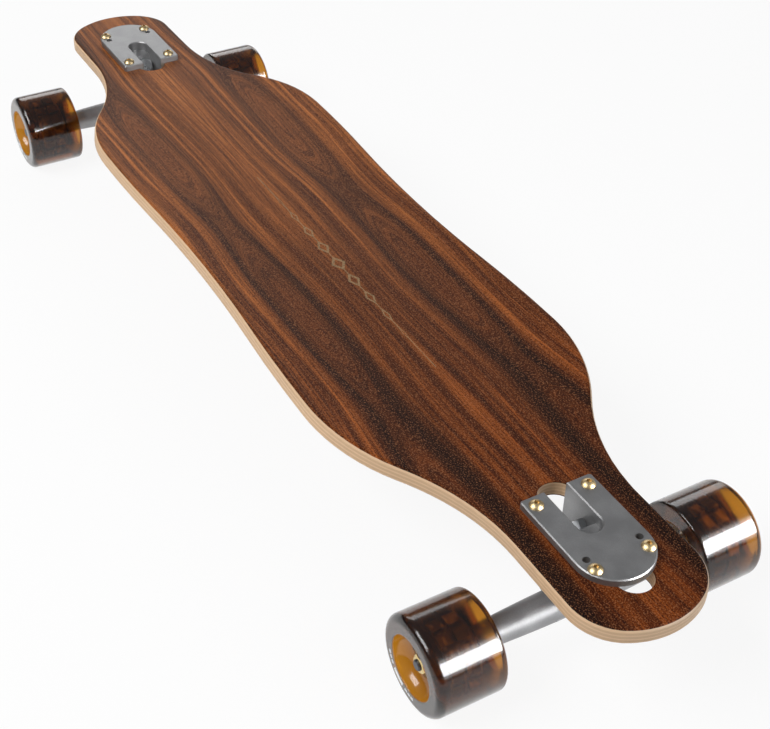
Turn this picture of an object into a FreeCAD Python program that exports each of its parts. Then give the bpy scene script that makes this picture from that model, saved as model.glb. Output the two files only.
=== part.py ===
import FreeCAD, Part
import math
import os
import types

import Sketcher

# A drop-through longboard skateboard. Lengths are in millimetres and angles in degrees.
# +X points to the front of the board, +Y to its left and +Z up. The origin lies on the ground,
# below the middle of the deck. The rear truck is the front one turned half round about Z.

# Driving dimensions: each goes into one aliased cell of the spreadsheet.
SIZES = {
    # Deck outline, seen from above
    "deck_length": 938,
    "hip_width": 213.6,
    "waist_tuck": 6.8,
    "hip_spacing": 386,
    "neck_width": 98.8,
    "truck_inset": 85,
    "neck_lead": 12,
    "hip_arc_share": 0.47,
    "nose_front_share": 0.6,
    "nose_corner_share": 0.4,
    # Deck thickness, concave and edge
    "veneer_thickness": 0.8,
    "core_thickness": 10.4,
    "flat_width": 62,
    "concave_radius": 430,
    "edge_top_radius": 3.2,
    "edge_bottom_radius": 2.2,
    # Slot in the deck that lets the truck through
    "cutout_gap": 1,
    "cutout_inner_reveal": 10,
    "cutout_outer_reveal": 8,
    # Base plate, measured from the middle of its bolt pattern
    "bolt_pitch_length": 63.5,
    "bolt_pitch_width": 41.3,
    "spare_hole_inset": 9.5,
    "bolt_hole_radius": 2.7,
    "plate_inner_reach": 40,
    "plate_outer_margin": 17.75,
    "plate_width": 56.5,
    "plate_thickness": 5.4,
    "plate_corner_radius": 2,
    "plate_chamfer": 0.8,
    "slot_width": 18,
    "slot_outer_reach": 6,
    "slot_end_depth": 3.5,
    "casting_width": 25,
    "rib_reach": 27,
    "rib_depth": 5.5,
    "cheek_depth": 45,
    # Truck geometry
    "pivot_angle": 50,
    "axle_drop": 60.3,
    "axle_setback": 2.4,
    "axle_to_kingpin": 28.5,
    "axle_rake": 12,
    # Stack of pieces along the kingpin
    "ring_thickness": 10,
    "boardside_bushing_height": 14,
    "roadside_bushing_height": 13,
    "bushing_radius": 12,
    "cone_end_radius": 9.6,
    "bushing_edge": 1.2,
    "boardside_washer_radius": 13.2,
    "boardside_washer_thickness": 2,
    "roadside_washer_radius": 11,
    "roadside_washer_thickness": 2.5,
    "washer_edge": 0.6,
    "seat_wall": 7,
    "kingpin_radius": 4.76,
    "kingpin_flats": 14.3,
    "kingpin_head_height": 6.5,
    "kingpin_nut_height": 9,
    "nut_collar_height": 2.2,
    "nut_collar_radius": 6.4,
    "kingpin_protrusion": 2.5,
    "kingpin_tip_chamfer": 0.9,
    "kingpin_clearance": 0.25,
    # Pivot
    "cup_mouth_distance": 41,
    "cup_depth": 10,
    "cup_radius": 9,
    "cup_floor": 1.4,
    "stub_radius": 6.5,
    "stub_clearance": 0.1,
    "stub_tip_gap": 0.4,
    "foot_wall": 4,
    "boss_radius": 8.6,
    "boss_gap": 1.5,
    # Hanger
    "hanger_width": 183,
    "ring_radius": 16,
    "ring_hole_radius": 7.6,
    "lip_gap": 0.4,
    "lip_wall": 1.8,
    "lip_height": 1.6,
    "yoke_half_width": 26,
    "yoke_slope_start": 16.5,
    "yoke_slope_length": 8,
    "yoke_drop": 18,
    "arm_centre_radius": 11.5,
    "arm_end_radius": 8.7,
    "arm_taper_end": 84,
    "arm_shoulder_radius": 8,
    "yoke_round": 2.4,
    # Axle and what it carries
    "axle_radius": 3.97,
    "axle_fit": 0.03,
    "axle_protrusion": 1.5,
    "axle_tip_chamfer": 0.8,
    "axle_nut_flats": 12.7,
    "axle_nut_height": 7,
    "speed_washer_thickness": 1,
    "spacer_length": 10,
    "spacer_radius": 5.4,
    # Bearings, two in each wheel
    "bearing_radius": 11,
    "bearing_width": 7,
    "ball_radius": 1.984,
    "ball_pitch_radius": 7.5,
    "ball_count": 7,
    "ball_clearance": 0.1,
    "inner_land_radius": 5.9,
    "outer_land_radius": 9.1,
    "shield_thickness": 0.35,
    "shield_inset": 0.4,
    "shield_gap": 0.4,
    "cage_inner_radius": 6.9,
    "cage_outer_radius": 8.1,
    "cage_front": 0.5,
    "cage_back": 2.5,
    # Wheels
    "wheel_diameter": 71,
    "wheel_width": 51,
    "outer_lip_radius": 5.5,
    "inner_lip_radius": 2.5,
    "bowl_radius": 22.5,
    "bowl_curve_radius": 12,
    "core_radius": 20,
    "core_flange_radius": 14.5,
    "core_shoulder_radius": 9,
    "core_groove_depth": 3,
    "core_groove_width": 3,
    "core_slot_width": 3.2,
    "core_slot_count": 12,
    "core_end_inset": 1.5,
    "bond_gap": 0.02,
    "bearing_seat_gap": 0.01,
    # Mounting hardware
    "bolt_radius": 2.4,
    "bolt_head_radius": 5,
    "bolt_head_height": 3.2,
    "bolt_head_edge": 0.5,
    "bolt_socket_flats": 3.2,
    "bolt_socket_depth": 2,
    "bolt_protrusion": 2,
    "nut_flats": 9.5,
    "nut_height": 5.6,
    # Shared by all fasteners and cuts
    "thread_fit": 0.02,
    "hex_chamfer_width": 2.7,
    "hex_chamfer_height": 1.35,
    "hex_chamfer_margin": 0.9,
    "overrun": 5,
}

LEFT = 1
RIGHT = -1
HORIZONTAL_AXIS = -1
VERTICAL_AXIS = -2
FULL_TURN = 360

doc = FreeCAD.newDocument("longboard")
sheet = doc.addObject("Spreadsheet::Sheet", "sizes")
for row, (alias, number) in enumerate(SIZES.items(), start=1):
    sheet.set(f"A{row}", alias)
    sheet.set(f"B{row}", str(number))
    sheet.setAlias(f"B{row}", alias)
doc.recompute()


class Size:
    """A number together with the spreadsheet expression that gives it."""

    def __init__(self, value, text):
        self.value = value
        self.text = text

    def __add__(self, other):
        other = as_size(other)
        return Size(self.value + other.value, f"({self.text} + {other.text})")

    def __sub__(self, other):
        other = as_size(other)
        return Size(self.value - other.value, f"({self.text} - {other.text})")

    def __mul__(self, other):
        other = as_size(other)
        return Size(self.value * other.value, f"({self.text} * {other.text})")

    def __truediv__(self, other):
        other = as_size(other)
        return Size(self.value / other.value, f"({self.text} / {other.text})")

    def __rsub__(self, other):
        return as_size(other) - self

    def __neg__(self):
        return Size(-self.value, f"(-1 * {self.text})")

    __radd__ = __add__
    __rmul__ = __mul__


def as_size(value):
    return value if isinstance(value, Size) else Size(float(value), str(value))


def root(size):
    return Size(math.sqrt(size.value), f"sqrt({size.text})")


def sine(angle):
    return Size(math.sin(math.radians(angle.value)), f"sin({angle.text})")


def cosine(angle):
    return Size(math.cos(math.radians(angle.value)), f"cos({angle.text})")


def leg(long_side, short_side):
    """The other short side of a right-angled triangle."""
    return root(long_side * long_side - short_side * short_side)


dim = types.SimpleNamespace(
    **{alias: Size(float(getattr(sheet, alias)), f"sizes.{alias}") for alias in SIZES}
)


# Sketches

def place_point(sketch, edge, position, x, y):
    """Hold one point of a sketch at two sizes measured from the sketch's origin."""
    for kind, axis, size in (("DistanceX", VERTICAL_AXIS, x), ("DistanceY", HORIZONTAL_AXIS, y)):
        if as_size(size).value == 0:
            sketch.addConstraint(Sketcher.Constraint("PointOnObject", edge, position, axis))
        else:
            index = sketch.addConstraint(Sketcher.Constraint(kind, edge, position, size.value))
            sketch.setExpression(f"Constraints[{index}]", size.text)


def corner_vector(corner):
    return FreeCAD.Vector(as_size(corner[0]).value, as_size(corner[1]).value, 0)


def arc_between(start, end, centre, turn):
    """An arc of less than a full turn, and the positions of its two ends along the loop."""
    circle = Part.Circle(centre, FreeCAD.Vector(0, 0, 1), (start - centre).Length)
    begin, finish = (start, end) if turn == LEFT else (end, start)
    angles = [math.atan2(spot.y - centre.y, spot.x - centre.x) for spot in (begin, finish)]
    if angles[1] < angles[0]:
        angles[1] += 2 * math.pi
    return Part.ArcOfCircle(circle, *angles), ((1, 2) if turn == LEFT else (2, 1))


def draw_loop(sketch, corners):
    """A closed loop of straight edges and arcs, every corner held by named sizes.

    A corner is (x, y), or (x, y, (centre x, centre y, turn)) where an arc leaves it.
    """
    first = sketch.GeometryCount
    count = len(corners)
    ends = []
    for index, corner in enumerate(corners):
        start = corner_vector(corner)
        end = corner_vector(corners[(index + 1) % count])
        if len(corner) == 2:
            edge, positions = Part.LineSegment(start, end), (1, 2)
        else:
            edge, positions = arc_between(start, end, corner_vector(corner[2]), corner[2][2])
        sketch.addGeometry(edge, False)
        ends.append(positions)
    for index in range(count):
        following = (index + 1) % count
        sketch.addConstraint(
            Sketcher.Constraint(
                "Coincident", first + index, ends[index][1], first + following, ends[following][0]
            )
        )
    for index, corner in enumerate(corners):
        place_point(sketch, first + index, ends[index][0], corner[0], corner[1])
        if len(corner) > 2:
            hold_centre(sketch, first + index, corner, corners[(index + 1) % count])


def hold_centre(sketch, edge, corner, following):
    """Fix an arc's centre along the line that halves its chord."""
    chord = corner_vector(following) - corner_vector(corner)
    if abs(chord.x) > abs(chord.y):
        kind, axis, size = "DistanceY", HORIZONTAL_AXIS, as_size(corner[2][1])
    else:
        kind, axis, size = "DistanceX", VERTICAL_AXIS, as_size(corner[2][0])
    if size.value == 0:
        sketch.addConstraint(Sketcher.Constraint("PointOnObject", edge, 3, axis))
    else:
        index = sketch.addConstraint(Sketcher.Constraint(kind, edge, 3, size.value))
        sketch.setExpression(f"Constraints[{index}]", size.text)


def draw_circle(sketch, x, y, radius):
    centre = corner_vector((x, y))
    edge = sketch.addGeometry(Part.Circle(centre, FreeCAD.Vector(0, 0, 1), radius.value), False)
    place_point(sketch, edge, 3, x, y)
    index = sketch.addConstraint(Sketcher.Constraint("Radius", edge, radius.value))
    sketch.setExpression(f"Constraints[{index}]", radius.text)


def draw_hexagon(sketch, flats):
    """A hexagon about the sketch's origin, from the distance across its flats."""
    half = flats / 2
    corner_reach = flats / root(as_size(3))
    draw_loop(
        sketch,
        [
            (corner_reach, 0),
            (corner_reach / 2, half),
            (-corner_reach / 2, half),
            (-corner_reach, 0),
            (-corner_reach / 2, -half),
            (corner_reach / 2, -half),
        ],
    )


def rectangle(low_x, low_y, high_x, high_y):
    return [(low_x, low_y), (high_x, low_y), (high_x, high_y), (low_x, high_y)]


# Bodies and features

def placement(x, y, z, axis=(0, 0, 1), angle=0):
    """The expression of a placement: a position, and a turn about an axis."""
    spot = "; ".join(as_size(part).text for part in (x, y, z))
    line = "; ".join(str(part) for part in axis)
    return f"placement(vector({spot}); rotation(vector({line}); {as_size(angle).text}))"


def new_body(label, where):
    body = doc.addObject("PartDesign::Body", label)
    body.Label = label
    body.AllowCompound = True
    body.setExpression("Placement", where)
    return body


def origin_feature(body, role):
    return next(item for item in body.Origin.OriginFeatures if item.Role == role)


def new_sketch(body, plane, offset=None):
    sketch = body.newObject("Sketcher::SketchObject", "profile")
    sketch.AttachmentSupport = [(origin_feature(body, plane), "")]
    sketch.MapMode = "FlatFace"
    if offset:
        sketch.setExpression("AttachmentOffset", offset)
    return sketch


def loops_sketch(body, plane, loops, offset=None):
    sketch = new_sketch(body, plane, offset)
    for corners in loops:
        draw_loop(sketch, corners)
    return sketch


def extrude(body, kind, sketch, length, middle=False, reverse=False):
    """A Pad or a Pocket of a sketch; middle spreads it to both sides of the sketch."""
    feature = body.newObject(f"PartDesign::{kind}", kind.lower())
    feature.Profile = sketch
    feature.setExpression("Length", length.text)
    feature.SideType = "Symmetric" if middle else "One side"
    feature.Reversed = reverse
    return feature


def turn_about(body, kind, sketch, axis):
    """A Revolution or a Groove of a sketch about one of its own axes."""
    feature = body.newObject(f"PartDesign::{kind}", kind.lower())
    feature.Profile = sketch
    feature.ReferenceAxis = (sketch, [axis])
    feature.Angle = FULL_TURN
    return feature


def revolved(body, plane, axis, loops, offset=None):
    return turn_about(body, "Revolution", loops_sketch(body, plane, loops, offset), axis)


def grooved(body, plane, axis, loops, offset=None):
    return turn_about(body, "Groove", loops_sketch(body, plane, loops, offset), axis)


def linear_step(body, axis, length):
    step = body.newObject("PartDesign::LinearPattern", "step")
    step.Direction = (origin_feature(body, axis), [""])
    step.setExpression("Length", length.text)
    step.Occurrences = 2
    return step


def polar_step(body, axis, count):
    step = body.newObject("PartDesign::PolarPattern", "ring")
    step.Axis = (origin_feature(body, axis), [""])
    step.Angle = FULL_TURN
    step.setExpression("Occurrences", count.text)
    return step


def repeated(body, features, steps):
    """Copies of features over one or more patterns, made the body's tip."""
    copies = body.newObject("PartDesign::MultiTransform", "copies")
    copies.Originals = features
    copies.Transformations = steps
    body.Tip = copies
    return copies


def mirrored(body, features):
    copies = body.newObject("PartDesign::Mirrored", "mirror")
    copies.Originals = features
    copies.MirrorPlane = (origin_feature(body, "XZ_Plane"), [""])
    body.Tip = copies
    return copies


def dress_edges(body, kind, base, size, chosen):
    """A Fillet or Chamfer on those edges of a feature that the test picks."""
    doc.recompute()
    names = [f"Edge{i}" for i, edge in enumerate(base.Shape.Edges, start=1) if chosen(edge)]
    feature = body.newObject(f"PartDesign::{kind}", kind.lower())
    feature.Base = (base, names)
    feature.setExpression("Radius" if kind == "Fillet" else "Size", size.text)
    return feature


def edge_at(edge, axis, level):
    """True where all of an edge lies at one level along an axis."""
    box = edge.BoundBox
    low, high = getattr(box, f"{axis}Min"), getattr(box, f"{axis}Max")
    return max(abs(low - level), abs(high - level)) < SAME_PLACE


SAME_PLACE = 1e-4
# A wall's normal leans less than this out of the level.
STEEP_SHARE = 0.5

# Places that several pieces share

deck_thickness = dim.veneer_thickness * 2 + dim.core_thickness
truck_x = dim.deck_length / 2 - dim.truck_inset
deck_top = dim.wheel_diameter / 2 + dim.axle_drop
bolt_x = dim.bolt_pitch_length / 2
bolt_y = dim.bolt_pitch_width / 2
spare_x = bolt_x - dim.spare_hole_inset
plate_outer_reach = bolt_x + dim.plate_outer_margin
plate_round_x = plate_outer_reach - dim.plate_width / 2
cutout_half = dim.casting_width / 2 + dim.cutout_gap

# The pivot axis runs outward and up at the pivot angle through the middle of the bushing ring.
# Tilted places are given along that axis and along the kingpin, which rises inward from the ring.
along_x = cosine(dim.pivot_angle)
along_z = sine(dim.pivot_angle)
ring_x = -dim.axle_setback + dim.axle_to_kingpin * along_x - dim.axle_rake * along_z
ring_z = -dim.axle_drop + dim.axle_to_kingpin * along_z + dim.axle_rake * along_x

ring_half = dim.ring_thickness / 2
boardside_washer_low = ring_half + dim.boardside_bushing_height
seat_low = boardside_washer_low + dim.boardside_washer_thickness
seat_high = seat_low + dim.seat_wall
kingpin_top = seat_high + dim.kingpin_head_height
roadside_washer_high = -ring_half - dim.roadside_bushing_height
nut_top = roadside_washer_high - dim.roadside_washer_thickness
nut_bottom = nut_top - dim.kingpin_nut_height
kingpin_end = nut_bottom - dim.kingpin_protrusion
kingpin_bore = dim.kingpin_radius + dim.kingpin_clearance

foot_radius = dim.casting_width / 2
cup_floor_at = -dim.cup_mouth_distance - dim.cup_depth
foot_end = cup_floor_at - dim.foot_wall
stub_bore = dim.stub_radius + dim.stub_clearance
stub_tip = cup_floor_at + dim.cup_floor + dim.stub_tip_gap

# Along the axle, from the middle of the truck outward
hanger_end = dim.hanger_width / 2
inner_bearing_at = hanger_end + dim.speed_washer_thickness
outer_bearing_at = inner_bearing_at + dim.bearing_width + dim.spacer_length
outer_washer_at = outer_bearing_at + dim.bearing_width
axle_nut_at = outer_washer_at + dim.speed_washer_thickness
axle_end = axle_nut_at + dim.axle_nut_height + dim.axle_protrusion
wheel_y = (inner_bearing_at + outer_washer_at) / 2
bearing_bore = dim.axle_radius + dim.axle_fit
bearing_step = dim.bearing_width + dim.spacer_length
bearing_middle = bearing_step / 2


def tilted(along, rise):
    """A place in the truck's upright frame from its distances along the pivot axis and kingpin."""
    along, rise = as_size(along), as_size(rise)
    return (ring_x + along * along_x - rise * along_z, ring_z + along * along_z + rise * along_x)


TILTED_SKETCH = placement(ring_x, ring_z, 0, angle=dim.pivot_angle)


# Deck

def deck_outline_corners(depth):
    """The outline at a depth below the top's flat strip, anticlockwise from the waist on the right.

    The walls stand square to the concave, so the outline widens with depth beyond the flat strip.
    """
    flat = dim.flat_width / 2
    spread = (dim.concave_radius + depth) / dim.concave_radius
    widths = (dim.hip_width - dim.waist_tuck * 2, dim.hip_width, dim.neck_width)
    waist, hip, neck = (flat + (width / 2 - flat) * spread for width in widths)
    hip_x, neck_x = dim.hip_spacing / 2, truck_x - dim.neck_lead
    # Two arcs of one radius lead from the waist out to the hip.
    swell = hip - waist
    swell_radius = (hip_x * hip_x + swell * swell) / (swell * 4)
    # Two arcs lead from the hip in to the neck; the share sets where they meet.
    fall = hip - neck
    run = neck_x - hip_x
    flank_radii = (run * run + fall * fall) / (fall * 2)
    hip_radius = flank_radii * dim.hip_arc_share
    neck_radius = flank_radii - hip_radius
    meet_x = hip_x + run * dim.hip_arc_share
    meet_y = hip - fall * dim.hip_arc_share
    # The nose is a front arc with a corner arc on each side.
    front_radius = neck * 2 * dim.nose_front_share
    corner_radius = neck * 2 * dim.nose_corner_share
    front_x = dim.deck_length / 2 - front_radius
    corner_y = neck - corner_radius
    corner_x = front_x + leg(front_radius - corner_radius, corner_y)
    blend_share = front_radius / (front_radius - corner_radius)
    blend_x = front_x + (corner_x - front_x) * blend_share
    blend_y = corner_y * blend_share

    # One quarter, from the waist to the nose: each place with the arc centre that leaves it.
    half_x, half_y = hip_x / 2, waist + swell / 2
    return [
        (half_x, -half_y, (hip_x, swell_radius - hip, LEFT)),
        (hip_x, -hip, (hip_x, hip_radius - hip, LEFT)),
        (meet_x, -meet_y, (neck_x, -neck - neck_radius, RIGHT)),
        (neck_x, -neck),
        (corner_x, -neck, (corner_x, -corner_y, LEFT)),
        (blend_x, -blend_y, (front_x, 0, LEFT)),
        (blend_x, blend_y, (corner_x, corner_y, LEFT)),
        (corner_x, neck),
        (neck_x, neck, (neck_x, neck + neck_radius, RIGHT)),
        (meet_x, meet_y, (hip_x, hip - hip_radius, LEFT)),
        (hip_x, hip, (hip_x, hip - swell_radius, LEFT)),
        (half_x, half_y, (0, waist + swell_radius, RIGHT)),
        (-half_x, half_y, (-hip_x, hip - swell_radius, LEFT)),
        (-hip_x, hip, (-hip_x, hip - hip_radius, LEFT)),
        (-meet_x, meet_y, (-neck_x, neck + neck_radius, RIGHT)),
        (-neck_x, neck),
        (-corner_x, neck, (-corner_x, corner_y, LEFT)),
        (-blend_x, blend_y, (-front_x, 0, LEFT)),
        (-blend_x, -blend_y, (-corner_x, -corner_y, LEFT)),
        (-corner_x, -neck),
        (-neck_x, -neck, (-neck_x, -neck - neck_radius, RIGHT)),
        (-meet_x, -meet_y, (-hip_x, hip_radius - hip, LEFT)),
        (-hip_x, -hip, (-hip_x, swell_radius - hip, LEFT)),
        (-half_x, -half_y, (0, -waist - swell_radius, RIGHT)),
    ]


def draw_truck_holes(sketch, end):
    """The slot that the truck hangs through, four bolt holes and the two spare holes."""
    inner = (dim.plate_inner_reach + dim.cutout_inner_reveal - cutout_half) * -end
    outer = (plate_outer_reach + dim.cutout_outer_reveal - cutout_half) * end
    middle = truck_x * end
    low, high = sorted((middle + inner, middle + outer), key=lambda place: place.value)
    draw_loop(
        sketch,
        [
            (low, -cutout_half),
            (high, -cutout_half, (high, 0, LEFT)),
            (high, cutout_half),
            (low, cutout_half, (low, 0, LEFT)),
        ],
    )
    for x in (bolt_x, -bolt_x, spare_x * end):
        for y in (bolt_y, -bolt_y):
            draw_circle(sketch, middle + x, y, dim.bolt_hole_radius)


def section_corners(depth_high, depth_low):
    """The concave cross-section between two depths: a flat middle and rails on round arcs."""
    flat = dim.flat_width / 2
    reach = dim.hip_width / 2 + dim.overrun
    centre = dim.concave_radius
    radius_high = centre + depth_high
    radius_low = centre + depth_low
    rim_high = centre - leg(radius_high, reach - flat)
    rim_low = centre - leg(radius_low, reach - flat)
    return [
        (-flat, -depth_low),
        (flat, -depth_low, (flat, centre, LEFT)),
        (reach, rim_low),
        (reach, rim_high, (flat, centre, RIGHT)),
        (flat, -depth_high),
        (-flat, -depth_high, (-flat, centre, RIGHT)),
        (-reach, rim_high),
        (-reach, rim_low, (-flat, centre, LEFT)),
    ]


def section_bar(name, depth_high, depth_low):
    """The cross-section drawn out along the whole board."""
    sketch = doc.addObject("Sketcher::SketchObject", f"{name}_section")
    sketch.setExpression("Placement", placement(0, 0, deck_top, axis=(1, 1, 1), angle=FULL_TURN / 3))
    draw_loop(sketch, section_corners(depth_high, depth_low))
    bar = doc.addObject("Part::Extrusion", f"{name}_bar")
    bar.Base = sketch
    bar.DirMode = "Custom"
    bar.Dir = FreeCAD.Vector(1, 0, 0)
    bar.Solid = True
    bar.Symmetric = True
    bar.setExpression("LengthFwd", (dim.deck_length + dim.overrun * 2).text)
    return bar


def wall_outline(name, depth):
    sketch = doc.addObject("Sketcher::SketchObject", name)
    sketch.setExpression("Placement", placement(0, 0, deck_top - depth))
    draw_loop(sketch, deck_outline_corners(depth))
    return sketch


def truck_holes():
    """The holes for both trucks, drawn up through the whole deck."""
    sketch = doc.addObject("Sketcher::SketchObject", "truck_holes")
    for end in (1, -1):
        draw_truck_holes(sketch, end)
    holes = doc.addObject("Part::Extrusion", "truck_hole_bars")
    holes.Base = sketch
    holes.DirMode = "Custom"
    holes.Dir = FreeCAD.Vector(0, 0, 1)
    holes.Solid = True
    holes.setExpression("LengthFwd", (deck_top + dim.hip_width).text)
    return holes


def build_deck():
    """Three laminations cut from one pressed blank with rounded rims."""
    rim_reach = dim.hip_width / 2 - dim.flat_width / 2
    rim_rise = dim.concave_radius - leg(dim.concave_radius, rim_reach)
    slab = doc.addObject("Part::Loft", "deck_slab")
    slab.Sections = [
        wall_outline("low_outline", deck_thickness + dim.overrun),
        wall_outline("high_outline", -rim_rise - dim.overrun),
    ]
    slab.Solid = True
    slab.Ruled = True
    pierced = doc.addObject("Part::Cut", "deck_pierced")
    pierced.Base = slab
    pierced.Tool = truck_holes()
    blank = doc.addObject("Part::Common", "deck_blank")
    blank.Base = pierced
    blank.Tool = section_bar("blank", as_size(0), deck_thickness)
    doc.recompute()
    rounded = doc.addObject("Part::Fillet", "deck_rounded")
    rounded.Base = blank
    rounded.Edges = rim_edges(blank.Shape)
    core_top = dim.veneer_thickness
    core_bottom = core_top + dim.core_thickness
    pieces = []
    for label, high, low in (
        ("deck_top_veneer", -dim.overrun, core_top),
        ("deck_core", core_top, core_bottom),
        ("deck_bottom_veneer", core_bottom, deck_thickness + dim.overrun),
    ):
        piece = doc.addObject("Part::Common", label)
        piece.Label = label
        piece.Base = rounded
        piece.Tool = section_bar(label, high, low)
        pieces.append(piece)
    return pieces


def rim_edges(shape):
    """The top and bottom edges of the outer wall, each with its rounding radius."""
    wall_edges = {}
    for face in shape.Faces:
        box = face.BoundBox
        upright = box.ZLength > deck_thickness.value / 2
        normal = face.normalAt(*(sum(face.ParameterRange[i : i + 2]) / 2 for i in (0, 2)))
        steep = abs(normal.z) < STEEP_SHARE
        if upright and steep and not is_hole_wall(face):
            for edge in face.Edges:
                wall_edges[edge.hashCode()] = edge
    found = []
    for index, edge in enumerate(shape.Edges, start=1):
        if edge.hashCode() not in wall_edges or is_upright(edge):
            continue
        rise = edge.CenterOfMass.z - deck_top.value
        drop = rim_height(edge.CenterOfMass.y) - rise
        radius = dim.edge_top_radius if drop < deck_thickness.value / 2 else dim.edge_bottom_radius
        found.append((index, radius.value, radius.value))
    return found


def is_upright(edge):
    box = edge.BoundBox
    return box.ZLength > max(box.XLength, box.YLength)


def is_hole_wall(face):
    """True for the walls of the truck slots and bolt holes."""
    reach = abs(face.CenterOfMass.y)
    from_truck = abs(face.CenterOfMass.x) - truck_x.value
    slot_reach = plate_outer_reach.value + dim.cutout_outer_reveal.value
    inside = from_truck < slot_reach + SAME_PLACE
    return inside and reach < bolt_y.value + dim.bolt_hole_radius.value * 2


def rim_height(y):
    """Height of the deck's top above its middle, at a distance from the centreline."""
    out = max(abs(y) - dim.flat_width.value / 2, 0)
    return dim.concave_radius.value - math.sqrt(dim.concave_radius.value ** 2 - out ** 2)


# Trucks: pieces fixed to the deck

def build_baseplate(label, where):
    body = new_body(label, where)
    half = dim.plate_width / 2
    inner = -dim.plate_inner_reach
    slot = dim.slot_width / 2
    slot_x = dim.slot_outer_reach - slot
    corner = dim.plate_corner_radius
    plan = new_sketch(body, "XY_Plane")
    draw_loop(
        plan,
        [
            (inner + corner, -half),
            (plate_round_x, -half, (plate_round_x, 0, LEFT)),
            (plate_round_x, half),
            (inner + corner, half, (inner + corner, half - corner, LEFT)),
            (inner, half - corner),
            (inner, slot),
            (slot_x, slot, (slot_x, 0, RIGHT)),
            (slot_x, -slot),
            (inner, -slot),
            (inner, corner - half, (inner + corner, corner - half, LEFT)),
        ],
    )
    for x in (bolt_x, -bolt_x, spare_x):
        for y in (bolt_y, -bolt_y):
            draw_circle(plan, x, y, dim.bolt_hole_radius)
    plate = extrude(body, "Pad", plan, dim.plate_thickness)
    top = dim.plate_thickness.value
    dress_edges(
        body,
        "Chamfer",
        plate,
        dim.plate_chamfer,
        lambda edge: edge_at(edge, "Z", top) and not edge.isClosed(),
    )

    # The casting below the plate: cheeks, the ramp that seats the kingpin, a rib and the web
    # that carries the pivot foot.
    rib_meet_along = (-dim.rib_depth - ring_z - seat_low * along_x) / along_z
    mouth = -dim.cup_mouth_distance
    side = [
        (inner, 0),
        (inner, -dim.cheek_depth),
        tilted(foot_end, foot_radius),
        tilted(foot_end, 0),
        tilted(mouth, 0),
        tilted(mouth, seat_low),
        tilted(rib_meet_along, seat_low),
        (dim.rib_reach - dim.rib_depth, -dim.rib_depth),
        (dim.rib_reach, 0),
    ]
    extrude(body, "Pad", loops_sketch(body, "XZ_Plane", [side]), dim.casting_width, middle=True)
    revolved(
        body, "XZ_Plane", "H_Axis", [rectangle(foot_end, 0, mouth, foot_radius)], TILTED_SKETCH
    )

    # The channel between the cheeks lets the kingpin in from above, and its closed end is sunk.
    back_at_plate = (-ring_z - seat_high * along_x) / along_z
    back_x = tilted(back_at_plate, seat_high)[0]
    past = inner - dim.overrun
    past_depth = (past - back_x) * along_z / along_x
    channel = [(past, 0), (past, past_depth), (back_x, 0)]
    extrude(body, "Pocket", loops_sketch(body, "XZ_Plane", [channel]), dim.slot_width, middle=True)
    sunk_end = [
        (inner, -slot),
        (slot_x, -slot, (slot_x, 0, LEFT)),
        (slot_x, slot),
        (inner, slot),
    ]
    extrude(body, "Pocket", loops_sketch(body, "XY_Plane", [sunk_end]), dim.slot_end_depth)
    kingpin_hole = rectangle(0, seat_low - dim.overrun, kingpin_bore, seat_high + dim.overrun)
    grooved(body, "XZ_Plane", "V_Axis", [kingpin_hole], TILTED_SKETCH)
    cup_hole = rectangle(cup_floor_at, 0, mouth + dim.overrun, dim.cup_radius)
    grooved(body, "XZ_Plane", "H_Axis", [cup_hole], TILTED_SKETCH)
    return body


def build_pivot_cup(label, where):
    body = new_body(label, where)
    mouth = -dim.cup_mouth_distance
    inside = cup_floor_at + dim.cup_floor
    loop = [
        (cup_floor_at, 0),
        (mouth, 0),
        (mouth, dim.cup_radius - dim.thread_fit),
        (cup_floor_at, dim.cup_radius - dim.thread_fit),
    ]
    revolved(body, "XZ_Plane", "H_Axis", [loop])
    grooved(
        body, "XZ_Plane", "H_Axis", [rectangle(inside, 0, mouth + dim.overrun, stub_bore)]
    )
    return body


def hexagon_pad(body, flats, height, level, plane="XY_Plane", bore=None):
    """A hexagonal prism, bored or not, that starts at a level along its plane's normal."""
    sketch = new_sketch(body, plane, placement(0, 0, level))
    draw_hexagon(sketch, flats)
    if bore:
        draw_circle(sketch, 0, 0, bore)
    return extrude(body, "Pad", sketch, height)


def chamfer_loop(flats, face, inward):
    """The triangle that, turned, takes the corners off one end of a hexagon."""
    outside = flats / root(as_size(3)) + dim.hex_chamfer_margin
    start = outside - dim.hex_chamfer_width
    end_level = face + inward * dim.hex_chamfer_height
    return [(start, face), (outside, face), (outside, end_level)]


def build_kingpin(label, where):
    body = new_body(label, where)
    chamfer = dim.kingpin_tip_chamfer
    radius = dim.kingpin_radius
    shaft = [
        (0, kingpin_end),
        (radius - chamfer, kingpin_end),
        (radius, kingpin_end + chamfer),
        (radius, seat_high),
        (0, seat_high),
    ]
    revolved(body, "XZ_Plane", "V_Axis", [shaft])
    hexagon_pad(body, dim.kingpin_flats, dim.kingpin_head_height, seat_high)
    grooved(body, "XZ_Plane", "V_Axis", [chamfer_loop(dim.kingpin_flats, kingpin_top, -1)])
    return body


def build_kingpin_nut(label, where):
    body = new_body(label, where)
    bore = dim.kingpin_radius + dim.thread_fit
    hex_bottom = nut_bottom + dim.nut_collar_height
    hexagon_pad(body, dim.kingpin_flats, nut_top - hex_bottom, hex_bottom, bore=bore)
    grooved(body, "XZ_Plane", "V_Axis", [chamfer_loop(dim.kingpin_flats, nut_top, -1)])
    revolved(
        body, "XZ_Plane", "V_Axis", [rectangle(bore, nut_bottom, dim.nut_collar_radius, hex_bottom)]
    )
    return body


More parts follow.
